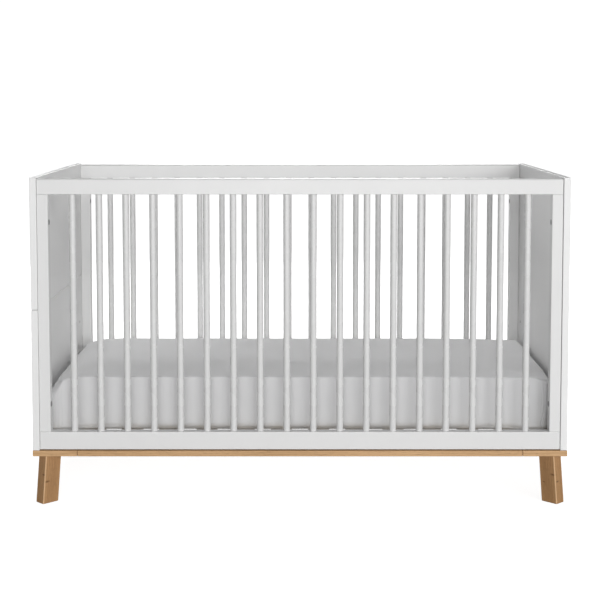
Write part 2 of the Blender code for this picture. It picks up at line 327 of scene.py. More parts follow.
# A whiter copy of the white lacquer: painted light on the end panels
LIT_PANEL_LACQUER = lacquer("lit_panel_lacquer", 0.870, 0.375)
# A greyer copy of the white lacquer: painted shade on the rungs, with real extra gloss
SHADED_RUNG_LACQUER = lacquer("shaded_rung_lacquer", 0.745, 0.270)
OAK = wood(
    "oak_boards",
    (0.72, 0.455, 0.235),
    (0.46, 0.265, 0.115),
    (0.18, 0.095, 0.040),
    0.0046,
)
# Where each knot comes out of a left or right leg, measured in its grain, and its size
LEG_KNOTS = {
    "left": (((0.0810, -0.0105, -0.0250), 0.0085), ((0.0620, -0.0170, -0.0165), 0.0105)),
    "right": (
        ((0.0810, -0.0170, -0.0180), 0.0105),
        ((0.0620, -0.0075, -0.0250), 0.0085),
        ((0.0560, -0.0170, 0.0130), 0.0060),
    ),
}
# Colour of the painted highlight along the legs' long edges
PAINTED_EDGE_HIGHLIGHT = colour(0.78, 0.52, 0.29)
# The legs' oak is a darker, warmer copy of the boards' oak: painted shade and warm bounce from under the
# plinth
SHADED_OAK_LEGS = {
    side: wood(
        f"shaded_oak_legs_{side}",
        (0.60, 0.345, 0.165),
        (0.36, 0.190, 0.078),
        (0.15, 0.070, 0.026),
        0.0042,
        knots,
        # where the painted edge highlight runs
        edge=(0.0, LEG_NARROW / 2, LEG_WIDE / 2),
    )
    for side, knots in LEG_KNOTS.items()
}
PINE = wood(
    "slat_wood",
    (0.78, 0.67, 0.50),
    (0.64, 0.51, 0.35),
    (0.42, 0.29, 0.17),
    0.0060,
    roughness=(0.55, 0.68),
)
COVER = cover_fabric()
WEBBING = webbing()
DARK_STEEL = metal("dark_steel", (0.40, 0.40, 0.405), 0.44, 0.95)
ZINC = metal("zinc_steel", (0.58, 0.58, 0.56), 0.34)
FELT = felt()
PLASTIC = plastic()


# -------- mesh tools


def link(piece):
    bpy.context.scene.collection.objects.link(piece)


def link_mesh(name, mesh, material):
    piece = bpy.data.objects.new(name, mesh)
    if not mesh.materials:
        mesh.materials.append(material)
    link(piece)
    return piece


def from_bmesh(name, bm, material, sharp=35):
    bmesh.ops.recalc_face_normals(bm, faces=bm.faces)
    mesh = bpy.data.meshes.new(name)
    bm.to_mesh(mesh)
    bm.free()
    mesh.shade_smooth()
    mesh.set_sharp_from_angle(angle=math.radians(sharp))
    return link_mesh(name, mesh, material)


def settle(piece):
    """Applies a piece's modifiers."""
    bpy.context.view_layer.update()
    graph = bpy.context.evaluated_depsgraph_get()
    mesh = bpy.data.meshes.new_from_object(piece.evaluated_get(graph), depsgraph=graph)
    mesh.name = piece.name
    piece.modifiers.clear()
    piece.data = mesh
    return piece


def register(piece, body, slot, *replaced):
    """Puts a piece on its body, in place of its CAD nodes. The slot argument is not used."""
    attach(piece, body)
    if replaced:
        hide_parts(*replaced)


def body_of_node(node):
    for body, nodes in frame["record"]["behaviour"]["bodies"].items():
        if node in nodes:
            return body
    return None


def add_rod(bm, start, end, diameter, sides=HARDWARE_SIDES):
    """A round bar between two points."""
    start, end = Vector(start), Vector(end)
    turn = (end - start).to_track_quat("Z", "Y").to_matrix().to_4x4()
    bmesh.ops.create_cone(
        bm,
        cap_ends=True,
        segments=sides,
        radius1=diameter / 2,
        radius2=diameter / 2,
        depth=(end - start).length,
        matrix=Matrix.Translation((start + end) / 2) @ turn,
    )


def through_rings(rings):
    """A closed solid that runs through rings of points."""
    bm = bmesh.new()
    loops = [[bm.verts.new(point) for point in ring] for ring in rings]
    for first, second in zip(loops, loops[1:]):
        for i in range(len(first)):
            j = (i + 1) % len(first)
            bm.faces.new((first[i], first[j], second[j], second[i]))
    bm.faces.new(loops[0])
    bm.faces.new(loops[-1])
    bmesh.ops.recalc_face_normals(bm, faces=bm.faces)
    return bm


def cut_with(piece, bm):
    """Takes the shapes in a bmesh out of a piece."""
    bmesh.ops.recalc_face_normals(bm, faces=bm.faces)
    mesh = bpy.data.meshes.new("cutter")
    bm.to_mesh(mesh)
    bm.free()
    cutter = bpy.data.objects.new("cutter", mesh)
    link(cutter)
    boolean = piece.modifiers.new("cut", "BOOLEAN")
    boolean.object = cutter
    settle(piece)
    if not piece.data.polygons:
        raise RuntimeError(f"the cut left nothing of {piece.name}")
    bpy.data.objects.remove(cutter)
    bpy.data.meshes.remove(mesh)
    return piece


def even_normals(piece):
    """Keeps the flats flat where they run into rounded edges."""
    weighted = piece.modifiers.new("even_normals", "WEIGHTED_NORMAL")
    weighted.keep_sharp = True
    weighted.weight = 100
    return settle(piece)


def block(name, low, high, material, radius, share=None, segments=4):
    """A board with rounded edges, its origin at its middle. share(direction, middle) scales a radius."""
    low, high = Vector(low), Vector(high)
    bm = bmesh.new()
    bmesh.ops.create_cube(bm, size=1, matrix=Matrix.Diagonal((*(high - low), 1)))
    weights = bm.edges.layers.float.new("bevel_weight_edge")
    for edge in bm.edges:
        first, second = (vertex.co for vertex in edge.verts)
        direction = max(range(3), key=lambda axis: abs(second[axis] - first[axis]))
        edge[weights] = share(direction, (first + second) / 2) if share else 1.0
    piece = from_bmesh(name, bm, material, sharp=80)
    piece.location = (low + high) / 2
    bevel = piece.modifiers.new("edges", "BEVEL")
    bevel.limit_method = "WEIGHT"
    bevel.width = radius
    bevel.segments = segments
    return settle(piece)


def turned(name, profile, material, sides=HARDWARE_SIDES, sharp=35):
    """A closed solid of revolution about X. The profile of (x, radius) ends on the axis, or closes."""
    bm = bmesh.new()
    points = [bm.verts.new((x, radius, 0)) for x, radius in profile]
    ring = [bm.edges.new((points[i], points[i + 1])) for i in range(len(points) - 1)]
    if profile[0][1] > 0:
        ring.append(bm.edges.new((points[-1], points[0])))
    bmesh.ops.spin(
        bm,
        geom=points + ring,
        cent=(0, 0, 0),
        axis=(1, 0, 0),
        angle=2 * math.pi,
        steps=sides,
        use_merge=True,
    )
    bmesh.ops.remove_doubles(bm, verts=bm.verts, dist=1e-6)
    return from_bmesh(name, bm, material, sharp)


def copy_of(piece, name, place, turn=(0, 0, 0)):
    twin = piece.copy()
    twin.name = name
    twin.location = place
    twin.rotation_euler = turn
    link(twin)
    return twin


def facing(side):
    """The turn that points a fixing's X axis to the right (1) or to the left (-1)."""
    return (0, 0, 0 if side > 0 else math.pi)


def write_grain(piece, axis_of, offset=(0, 0, 0)):
    """Stores where each corner of a face sits in the wood: X runs along the grain of that face."""
    mesh = piece.data
    grain = mesh.attributes.new("grain", "FLOAT_VECTOR", "CORNER")
    for face in mesh.polygons:
        along = axis_of(face.normal)
        rest = [axis for axis in range(3) if axis != along]
        for loop in face.loop_indices:
            point = mesh.vertices[mesh.loops[loop].vertex_index].co
            turned_point = Vector((point[along], point[rest[0]], point[rest[1]]))
            grain.data[loop].vector = turned_point + Vector(offset)
    return piece


# -------- end panels


def insert_places():
    """(x side, y, z) of every threaded insert in the end panels' inner faces."""
    low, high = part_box("front_top_rail")
    side_y = abs(low.y + high.y) / 2
    base_low, base_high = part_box("base_front_bearer")
    base_z = (base_low.z + base_high.z) / 2
    for side in (-1, 1):
        for y in (-side_y, side_y):
            for z in SIDE_BOLT_HEIGHTS:
                yield side, y, z
        for y in (-BASE_BOLT_Y, BASE_BOLT_Y):
            for step in range(BASE_HEIGHTS):
                yield side, y, base_z + step * BASE_STEP


def end_panels():
    """Lacquered boards with softened edges and a hole for each insert."""
    for node in ("left_end_panel_lower", "left_end_panel_upper", "right_end_panel"):
        low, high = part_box(node)
        side = 1 if low.x > 0 else -1
        inner = low.x if side > 0 else high.x
        panel = block(node + "_board", low, high, LIT_PANEL_LACQUER, BOARD_EDGE)
        holes = bmesh.new()
        for place_side, y, z in insert_places():
            if place_side == side and low.z < z < high.z:
                start, end = (inner - side * 0.002, y, z), (inner + side * INSERT_DEPTH, y, z)
                add_rod(holes, start, end, INSERT_DIAMETER + 2 * BORE_CLEARANCE)
        if node.startswith("left"):
            x = (low.x + high.x) / 2
            seam = high.z if node.endswith("lower") else low.z
            for y in DOWEL_PLACES:
                start, end = (x, y, seam - DOWEL_BORE_DEPTH), (x, y, seam + DOWEL_BORE_DEPTH)
                add_rod(holes, start, end, DOWEL_BORE)
        cut_with(panel, holes)
        even_normals(panel)
        register(panel, body_of_node(node), "white_lacquer", node)


def panel_inserts():
    """Threaded metal inserts, flush with the inner faces. Their bore carries shallow threads."""
    outer, bore = INSERT_DIAMETER / 2, 0.0030
    profile = [(0.0002, bore + 0.0006), (0.0002, outer), (INSERT_DEPTH - 0.001, outer)]
    turns = 9
    for turn in range(turns, -1, -1):
        x = 0.0008 + (INSERT_DEPTH - 0.002) * turn / turns
        profile.append((x, bore + (0.0004 if turn % 2 else 0.0)))
    master = turned("insert", profile, ZINC, 24, 60)
    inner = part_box("right_end_panel")[0].x
    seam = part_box("left_end_panel_upper")[0].z
    for number, (side, y, z) in enumerate(insert_places(), start=1):
        insert = copy_of(master, f"panel_insert_{number:02d}", (side * inner, y, z), facing(side))
        body = "upper_foot_panel" if side < 0 and z > seam else "carcass"
        register(insert, body, "zinc_steel")
    bpy.data.objects.remove(master)


def seam_dowels():
    """Fluted beech dowels that locate the upper part of the split panel."""
    low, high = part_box("left_end_panel_lower")
    sides, length, chamfer = 40, DOWEL_LENGTH, 0.0015
    rings = []
    for x, size in ((0, 0.86), (chamfer, 1.0), (length - chamfer, 1.0), (length, 0.86)):
        ring = []
        for step in range(sides):
            angle = 2 * math.pi * step / sides
            radius = DOWEL_RADIUS * size * (1.0 if step % 4 else 0.93)
            ring.append((x, radius * math.cos(angle), radius * math.sin(angle)))
        rings.append(ring)
    for number, y in enumerate(DOWEL_PLACES, start=1):
        dowel = from_bmesh(f"seam_dowel_{number}", through_rings(rings), PINE)
        write_grain(dowel, lambda normal: 0)
        dowel.location = ((low.x + high.x) / 2, y, high.z - DOWEL_DEPTH)
        dowel.rotation_euler = (0, -math.pi / 2, 0)
        register(dowel, "carcass", "base_wood")


# -------- barred sides


def top_rail_share(direction, middle):
    """Top long edges get the full radius, the ends most of it, the joint side little."""
    if direction == 2:
        return 0.5
    if middle.z > 0:
        return 1.0 if direction == 0 else 0.8
    return 0.25


def bottom_rail_share(direction, middle):
    """Lightly eased all round, and a little more on the upright edges."""
    return 0.5 if direction == 2 else 0.35


def rails(side):
    """The rails of one side, bored for its rungs."""
    rung_boxes = [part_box(f"{side}_rung_{number:02d}") for number in range(1, RUNG_COUNT + 1)]
    left_fit, right_fit = SIDE_FIT[side]
    for rail in ("top", "bottom"):
        node = f"{side}_{rail}_rail"
        share = top_rail_share if rail == "top" else bottom_rail_share
        low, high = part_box(node)
        low.x -= left_fit
        high.x += right_fit
        piece = block(node + "_bar", low, high, LACQUER, RAIL_ROUNDING, share, 6)
        bores = bmesh.new()
        for foot, head in rung_boxes:
            x, y = (foot.x + head.x) / 2, (foot.y + head.y) / 2
            diameter = head.x - foot.x + 2 * BORE_CLEARANCE
            start, end = (x, y, foot.z - BORE_CLEARANCE), (x, y, head.z + BORE_CLEARANCE)
            add_rod(bores, start, end, diameter, RUNG_SIDES)
        cut_with(piece, bores)
        even_normals(piece)
        register(piece, body_of_node(node), "white_lacquer", node)


def stiles(side):
    """Uprights between the rails, drilled for their bolts."""
    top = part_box(f"{side}_top_rail")[0].z
    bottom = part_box(f"{side}_bottom_rail")[1].z
    for end in ("left", "right"):
        node = f"{side}_{end}_stile"
        low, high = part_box(node)
        low.z, high.z = bottom + 0.0001, top - 0.0001
        low.x -= SIDE_FIT[side][0] if end == "left" else 0.0
        high.x += SIDE_FIT[side][1] if end == "right" else 0.0
        piece = block(node + "_post", low, high, LACQUER, STILE_EDGE)
        holes = bmesh.new()
        y = (low.y + high.y) / 2
        for z in SIDE_BOLT_HEIGHTS:
            add_rod(holes, (low.x - 0.01, y, z), (high.x + 0.01, y, z), BOLT_HOLE)
        cut_with(piece, holes)
        even_normals(piece)
        register(piece, body_of_node(node), "white_lacquer", node)


def rungs(side):
    """Round bars whose ends sit in the rails."""
    master = None
    for number in range(1, RUNG_COUNT + 1):
        node = f"{side}_rung_{number:02d}"
        low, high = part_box(node)
        if master is None:
            bm = bmesh.new()
            half = (high.z - low.z) / 2
            add_rod(bm, (0, 0, -half), (0, 0, half), high.y - low.y, RUNG_SIDES)
            master = from_bmesh(side + "_rung_bar", bm, SHADED_RUNG_LACQUER, 40)
        rung = copy_of(master, node + "_bar", (low + high) / 2)
        register(rung, body_of_node(node), "white_lacquer", node)
    bpy.data.objects.remove(master)


def bolt_master(name, head, rise, shank, length, material):
    """A low domed head with a hex socket, on a plain shank. Its seat is at the origin, its head on -X."""
    rim = rise * 0.25
    profile = [(-rise, 0)]
    for step in range(1, 9):
        share = step / 8
        profile.append((-rim - (rise - rim) * math.sqrt(max(1 - share**2, 0)), head / 2 * share))
    profile += [(0, head / 2), (0, shank / 2), (length, shank / 2), (length, 0)]
    bolt = turned(name, profile, material)
    socket = bmesh.new()
    add_rod(socket, (-rise - 0.001, 0, 0), (-rise * 0.25, 0, 0), head * 0.30, 6)
    return even_normals(cut_with(bolt, socket))


def screw_master(name, head, length):
    """A countersunk screw with a cross recess. Its head is flush at the origin and it points along +X."""
    profile = [(0, 0), (0, head / 2), (0.0004, head / 2), (head * 0.40, head * 0.22)]
    profile += [(length * 0.8, head * 0.20), (length, 0)]
    screw = turned(name, profile, ZINC, 24)
    for sizes in ((0.0024, head * 0.56, head * 0.12), (0.0024, head * 0.12, head * 0.56)):
        recess = bmesh.new()
        bmesh.ops.create_cube(recess, size=1, matrix=Matrix.Diagonal((*sizes, 1)))
        screw = cut_with(screw, recess)
    return screw


def side_bolts():
    """Dark bolts through the stiles. One ends at the stile's face where the side or the panel comes off."""
    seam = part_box("left_end_panel_upper")[0].z
    for side in ("front", "back"):
        for end in ("left", "right"):
            low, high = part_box(f"{side}_{end}_stile")
            sign = -1 if end == "left" else 1
            seat = low.x if sign > 0 else high.x
            y = (low.y + high.y) / 2
            for number, z in enumerate(SIDE_BOLT_HEIGHTS, start=1):
                name = f"{side}_{end}_bolt_{number}"
                enters = side == "back" and (end == "right" or z < seam)
                reach = high.x - low.x + (SIDE_BOLT_BITE if enters else 0.0)
                sizes = (SIDE_BOLT_HEAD, SIDE_BOLT_RISE, SIDE_BOLT_SHANK, reach)
                bolt = bolt_master(name, *sizes, DARK_STEEL)
                bolt.location = (seat, y, z)
                bolt.rotation_euler = facing(sign)
                body = "front_side" if side == "front" else "carcass"
                register(bolt, body, "dark_steel")


# -------- plinth and legs


def plinth():
    """Oak-faced boards, each edge banded along its own length."""
    for number, part in enumerate(("left", "right", "front", "back")):
        node = f"plinth_{part}_board"
        low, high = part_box(node)
        longest = 1 if part in ("left", "right") else 0
        if longest == 0:
            low.x, high.x = low.x + JOINT_GAP, high.x - JOINT_GAP
        piece = block(node + "_oak", low, high, OAK, 0.0010, segments=3)
        if longest == 1:
            holes = bmesh.new()
            middle = (low + high) / 2
            for x, y in leg_screw_places():
                if x * middle.x > 0:
                    add_rod(holes, (x, y, high.z - 0.010), (x, y, high.z + 0.010), SCREW_HEAD + 0.0004)
            cut_with(piece, holes)
        even_normals(piece)

        def axis_of(normal, longest=longest):
            axis = max(range(3), key=lambda i: abs(normal[i]))
            return longest if axis == 2 else 1 - axis

        write_grain(piece, axis_of, (0.7 * number + 0.3, 0.02 * number, 0.013 * number))
        register(piece, "carcass", "oak", node)


def leg_screw_places():
    """(x, y) of the two screws that go down into each leg."""
    for node in LEG_NODES:
        low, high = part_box(node)
        middle = (low + high) / 2
        side = Vector((1 if middle.x > 0 else -1, 1 if middle.y > 0 else -1))
        for inwards in (0.007, 0.016):
            yield middle.x - side.x * inwards, middle.y - side.y * inwards


def leg_screws():
    """Countersunk screws through the plinth's end boards into the legs."""
    master = screw_master("leg_screw", SCREW_HEAD, SCREW_LENGTH)
    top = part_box("plinth_left_board")[1].z
    for number, (x, y) in enumerate(leg_screw_places(), start=1):
        screw = copy_of(master, f"leg_screw_{number}", (x, y, top - 0.0008), (0, math.pi / 2, 0))
        register(screw, "carcass", "zinc_steel")
    bpy.data.objects.remove(master)


def joint_plates():
    """Flat plates under the joints between the plinth's boards, each held by four screws."""
    master = screw_master("plate_screw", PLATE_SCREW_HEAD, PLATE_SCREW_LENGTH)
    length, width, thickness = PLATE_SIZES
    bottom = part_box("plinth_left_board")[0].z
    low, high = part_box("plinth_front_board")
    front = (low.y + high.y) / 2
    joints = [(x, y) for y in (front, -front) for x in (low.x, high.x)]
    for number, (x, y) in enumerate(joints, start=1):
        near = (x - length / 2, y - width / 2, bottom - thickness)
        far = (x + length / 2, y + width / 2, bottom - 0.0001)
        plate = block(f"joint_plate_{number}", near, far, ZINC, 0.0005, segments=2)
        places = []
        for step in (-0.38, -0.16, 0.16, 0.38):
            places.append((x + step * length, y + 0.006 * math.copysign(1, step)))
        holes = bmesh.new()
        for place in places:
            add_rod(holes, (*place, bottom - 0.004), (*place, bottom + 0.002), PLATE_SCREW_HEAD + 0.0003)
        even_normals(cut_with(plate, holes))
        register(plate, "carcass", "zinc_steel")
        for count, place in enumerate(places, start=1):
            seat = (*place, bottom - thickness + 0.0002)
            screw = copy_of(master, f"plate_screw_{number}_{count}", seat, (0, -math.pi / 2, 0))
            register(screw, "carcass", "zinc_steel")
    bpy.data.objects.remove(master)


def middle_of(points):
    return sum(points, Vector()) / len(points)


def legs():
    """Splayed bars set on the diagonal, with level ends."""
    for node in LEG_NODES:
        points = [vertex.co for vertex in NODES[node].data.vertices]
        top = max(point.z for point in points)
        foot = middle_of([point for point in points if point.z < 0.0005])
        head = middle_of([point for point in points if point.z > top - 0.0005])
        lean = (head - foot) / (head.z - foot.z)
        side_x = 1 if foot.x > 0 else -1
        side_y = 1 if foot.y > 0 else -1
        inwards = Vector((-side_x, -side_y, 0)).normalized()
        across = Vector((side_x, -side_y, 0)).normalized()
        outline = []
        for u, v in ((-1, -1), (1, -1), (1, 1), (-1, 1)):
            outline.append(inwards * u * LEG_WIDE / 2 + across * v * LEG_NARROW / 2)
        bm = through_rings([[lean * z + corner for corner in outline] for z in (GLIDE_THICKNESS, top)])
        bmesh.ops.bevel(bm, geom=bm.edges[:], offset=LEG_EDGE, segments=4, profile=0.5, affect="EDGES")
        oak = SHADED_OAK_LEGS["right" if side_x > 0 else "left"]
        leg = even_normals(from_bmesh(node + "_oak", bm, oak, 80))
        leg.location = (foot.x, foot.y, 0)
        mesh = leg.data
        grain = mesh.attributes.new("grain", "FLOAT_VECTOR", "POINT")
        for vertex in mesh.vertices:
            point = vertex.co - lean * vertex.co.z
            grain.data[vertex.index].vector = (vertex.co.z, point.dot(across), point.dot(inwards))
        register(leg, "carcass", "oak", node)
        glide(node, foot)


def glide(node, foot):
    """A thin felt disc under a leg."""
    profile = [(0, 0), (0, GLIDE_RADIUS - 0.0005), (0.0003, GLIDE_RADIUS)]
    profile += [(GLIDE_THICKNESS, GLIDE_RADIUS), (GLIDE_THICKNESS, 0)]
    disc = turned(node + "_glide", profile, FELT)
    disc.location = (foot.x, foot.y, 0)
    disc.rotation_euler = (0, -math.pi / 2, 0)
    register(disc, "carcass", "felt")


# -------- slatted base


def bearers():
    for number, part in enumerate(("front", "back")):
        node = f"base_{part}_bearer"
        piece = even_normals(block(node + "_wood", *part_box(node), PINE, 0.002))
        write_grain(piece, lambda normal: 0, (0.4 * number, 0.03 * number, 0.05))
        register(piece, "mattress_base", "base_wood", node)


def slat_starts():
    """Number and low x of each slat."""
    low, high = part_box("slat_deck")
    pitch = (high.x - low.x - SLAT_WIDTH) / (SLAT_COUNT - 1)
    for i in range(SLAT_COUNT):
        yield i, low.x + i * pitch


def slats():
    """Cross slats with eased edges, each from another stretch of wood."""
    low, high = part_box("slat_deck")
    for i, x in slat_starts():
        near = (x + SLEEVE_WALL, low.y + SLEEVE_WALL, low.z)
        far = (x + SLAT_WIDTH - SLEEVE_WALL, high.y - SLEEVE_WALL, low.z + SLAT_THICKNESS)
        slat = even_normals(block(f"slat_{i + 1:02d}", near, far, PINE, 0.0018))
        write_grain(slat, lambda normal: 1, (0.83 * i, 0.031 * i, 0.017 * i))
        register(slat, "mattress_base", "base_wood")
        if i == 0:
            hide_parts("slat_deck")


def slat_sleeves():
    """White plastic clips that hug the end of each slat."""
    low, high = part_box("slat_deck")
    tall, reach = SLAT_THICKNESS, 0.016
    clip = block("clip", (-SLAT_WIDTH / 2, 0, 0), (SLAT_WIDTH / 2, reach, tall), PLASTIC, 0.0008, segments=2)
    slot = bmesh.new()
    inside = (SLAT_WIDTH - 2 * SLEEVE_WALL + 0.0002, reach, tall * 2, 1)
    shift = Matrix.Translation((0, SLEEVE_WALL + reach / 2 - 0.0001, 0))
    bmesh.ops.create_cube(slot, size=1, matrix=shift @ Matrix.Diagonal(inside))
    bmesh.ops.translate(slot, verts=slot.verts, vec=(0, 0, tall / 2))
    even_normals(cut_with(clip, slot))
    for i, x in slat_starts():
        for end, side in (("front", -1), ("back", 1)):
            edge = low.y if side < 0 else high.y
            place = (x + SLAT_WIDTH / 2, edge - side * reach / 2, low.z + tall / 2)
            piece = copy_of(clip, f"slat_clip_{end}_{i + 1:02d}", place, facing(-side))
            register(piece, "mattress_base", "white_plastic")
    bpy.data.objects.remove(clip)


def staples():
    """Wire staples that hold the tapes on the slats, pressed in almost flush."""
    half_width, leg, wire = 0.005, 0.007, 0.0009
    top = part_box("slat_deck")[1].z - 0.0003
    bm = bmesh.new()
    for _, start in slat_starts():
        x = start + SLAT_WIDTH / 2
        for y in (-TAPE_OFFSET, TAPE_OFFSET):
            add_rod(bm, (x, y - half_width, top), (x, y + half_width, top), wire, 8)
            for end in (-half_width, half_width):
                add_rod(bm, (x, y + end, top - leg), (x, y + end, top), wire, 8)
    register(from_bmesh("tape_staples", bm, ZINC), "mattress_base", "zinc_steel")


def tapes():
    """Two webbing tapes along the slats."""
    low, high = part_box("slat_deck")
    for number, y in enumerate((-TAPE_OFFSET, TAPE_OFFSET), start=1):
        corner = (low.x + SLAT_WIDTH / 4, y - TAPE_WIDTH / 2, low.z + SLAT_THICKNESS - 0.0002)
        far = (high.x - SLAT_WIDTH / 4, y + TAPE_WIDTH / 2, high.z)
        tape = even_normals(block(f"webbing_tape_{number}", corner, far, WEBBING, 0.0003, segments=2))
        register(tape, "mattress_base", "webbing")


def base_brackets():
    """Angle brackets that bolt the bearers' ends to the inserts in the end panels."""
    for part, side_y in (("front", -1), ("back", 1)):
        low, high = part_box(f"base_{part}_bearer")
        face = high.y if side_y < 0 else low.y
        z = (low.z + high.z) / 2
        for end, side_x in (("left", -1), ("right", 1)):
            name = f"base_bracket_{part}_{end}"
            tip = side_x * (high.x + BRACKET_THICKNESS)
            inner_x, inner_y = tip - side_x * BRACKET_THICKNESS, face - side_y * BRACKET_THICKNESS
            far_x, far_y = tip - side_x * BRACKET_REACH, face - side_y * BRACKET_REACH
            path = [(tip, far_y), (tip, face), (far_x, face)]
            path += [(far_x, inner_y), (inner_x, inner_y), (inner_x, far_y)]
            levels = (z - BRACKET_HEIGHT / 2, z + BRACKET_HEIGHT / 2)
            bm = through_rings([[(x, y, level) for x, y in path] for level in levels])
            bmesh.ops.bevel(bm, geom=bm.edges[:], offset=0.0004, segments=2, profile=0.5, affect="EDGES")
            bracket = even_normals(from_bmesh(name, bm, ZINC, 80))
            register(bracket, "mattress_base", "zinc_steel")
            bolt = bolt_master(f"base_bolt_{part}_{end}", *BASE_BOLT_SIZES, ZINC)
            bolt.location = (inner_x, side_y * BASE_BOLT_Y, z)
            bolt.rotation_euler = facing(side_x)
            register(bolt, "mattress_base", "zinc_steel")


# -------- mattress


def lines(half, edge, corner, cell):
    """Grid lines from -half to half, closer together towards both ends."""
    near = [edge * i / 4 for i in range(5)]
    near += [edge + (corner - edge) * i / 12 for i in range(1, 13)]
    flat = half - corner
    middle = np.linspace(-flat, flat, max(2, round(2 * flat / cell)) + 1)
    insets = np.array(near[:-1])
    return np.concatenate([insets - half, middle, (half - insets)[::-1]])


def shell_of(xs, ys, zs):
    """Points and quads of a closed box surface, cut along the grid lines."""
    index, quads = {}, []

    def corner(*key):
        return index.setdefault(key, len(index))

    def side(fixed, value, first, second, flip):
        counts = [len(xs) - 1, len(ys) - 1, len(zs) - 1]
        for i in range(counts[first]):
            for j in range(counts[second]):
                quad = []
                for a, b in ((i, j), (i + 1, j), (i + 1, j + 1), (i, j + 1)):
                    key = [0, 0, 0]
                    key[fixed], key[first], key[second] = value, a, b
                    quad.append(corner(*key))
                quads.append(quad[::-1] if flip else quad)

    side(2, len(zs) - 1, 0, 1, False)
    side(2, 0, 0, 1, True)
    side(0, len(xs) - 1, 1, 2, False)
    side(0, 0, 1, 2, True)
    side(1, len(ys) - 1, 0, 2, True)
    side(1, 0, 0, 2, False)
    keys = np.array(list(index))
    return np.stack([xs[keys[:, 0]], ys[keys[:, 1]], zs[keys[:, 2]]], axis=1), quads


def edge_radii(points, half):
    """Edge radius at each point: crisp along the top, rounder at the ends, soft below."""
    left = ease(-points[:, 0], half[0] - 0.058, half[0] - 0.014)
    right = ease(points[:, 0], half[0] - 0.045, half[0] - 0.015)
    top = MATTRESS_EDGE + (MATTRESS_LEFT_EDGE - MATTRESS_EDGE) * left
    top += (MATTRESS_RIGHT_EDGE - MATTRESS_EDGE) * right
    corner = ease(np.abs(points[:, 0]), half[0] - 0.120, half[0] - 0.050)
    bottom = MATTRESS_BOTTOM_EDGE + (MATTRESS_BOTTOM_CORNER - MATTRESS_BOTTOM_EDGE) * corner
    return np.where(points[:, 2] > 0, top, bottom)


def rounded(points, half, corner, edge):
    """Rounds a box shell by a radius for each point, its upright corners by one and its edges by another."""
    size = np.abs(points)
    inset = np.minimum(half[0] - size[:, 0], half[1] - size[:, 1])
    out = np.maximum(edge - inset, 0)
    rise = np.maximum(edge - (half[2] - size[:, 2]), 0)
    squeeze = np.maximum(out, rise) / np.maximum(np.hypot(out, rise), 1e-12)
    squeeze[(out == 0) | (rise == 0)] = 1
    new_inset = inset + out * (1 - squeeze)
    height = size[:, 2] - rise * (1 - squeeze)
    flat = np.array(half[:2]) - corner[:, None]
    past = np.maximum(size[:, :2] - flat, 0)
    shrink = (corner - new_inset) / np.maximum(corner - inset, 1e-12)
    shrink[inset >= corner] = 1
    longest = past.max(axis=1)
    circle = longest / np.maximum(np.hypot(past[:, 0], past[:, 1]), 1e-12)
    circle[longest == 0] = 1
    plan = np.minimum(size[:, :2], flat) + past * (shrink * circle)[:, None]
    return np.column_stack([plan, height]) * np.where(points < 0, -1, 1)


def ease(value, start, end):
    """0 before start, 1 after end, and smooth between."""
    t = np.clip((value - start) / (end - start), 0, 1)
    return t * t * (3 - 2 * t)


def sink(points, half):
    """How far the top lies below its highest level: soft ends, a soft back edge and softer corners."""
    x, y = points[:, 0], points[:, 1]
    left = 0.014 * ease(-x, half[0] - 0.075, half[0] - 0.005)
    right = 0.003 * ease(x, half[0] - 0.30, half[0])
    back = 0.010 * ease(y, half[1] - 0.085, half[1] + 0.01)
    left_corners = ease(-x, half[0] - 0.09, half[0]) * ease(np.abs(y), half[1] - 0.09, half[1])
    right_front = ease(x, half[0] - 0.07, half[0]) * ease(-y, half[1] - 0.17, half[1])
    return left + right + back + 0.007 * left_corners + 0.010 * right_front


def swell(piece, resting):
    """Lets the cover fill out under pressure, with the underside held where it rests."""
    rest = np.array([vertex.co for vertex in piece.data.vertices])
    held = piece.vertex_groups.new(name="held")
    held.add([int(i) for i in np.nonzero(resting)[0]], 1.0, "REPLACE")
    cloth = piece.modifiers.new("cloth", "CLOTH")
    settings = cloth.settings
    settings.quality = 5
    settings.mass = 0.3
    settings.tension_stiffness = 40
    settings.compression_stiffness = 40
    settings.shear_stiffness = 20
    settings.bending_stiffness = 5
    settings.use_pressure = True
    settings.uniform_pressure_force = 4.0
    settings.vertex_group_mass = "held"
    settings.effector_weights.gravity = 0.0
    cloth.collision_settings.use_collision = False
    cloth.point_cache.frame_start = 1
    cloth.point_cache.frame_end = SIMULATED_FRAMES
    for step in range(1, SIMULATED_FRAMES + 1):
        bpy.context.scene.frame_set(step)
    graph = bpy.context.evaluated_depsgraph_get()
    blown = np.array([vertex.co for vertex in piece.evaluated_get(graph).data.vertices])
    piece.modifiers.clear()
    bpy.context.scene.frame_set(1)
    move = blown - rest
    length = np.linalg.norm(move, axis=1)
    move *= (np.minimum(length, SWELL_LIMIT) / np.maximum(length, 1e-12))[:, None]
    piece.data.vertices.foreach_set("co", (rest + move).astype(np.float32).ravel())
    piece.data.update()


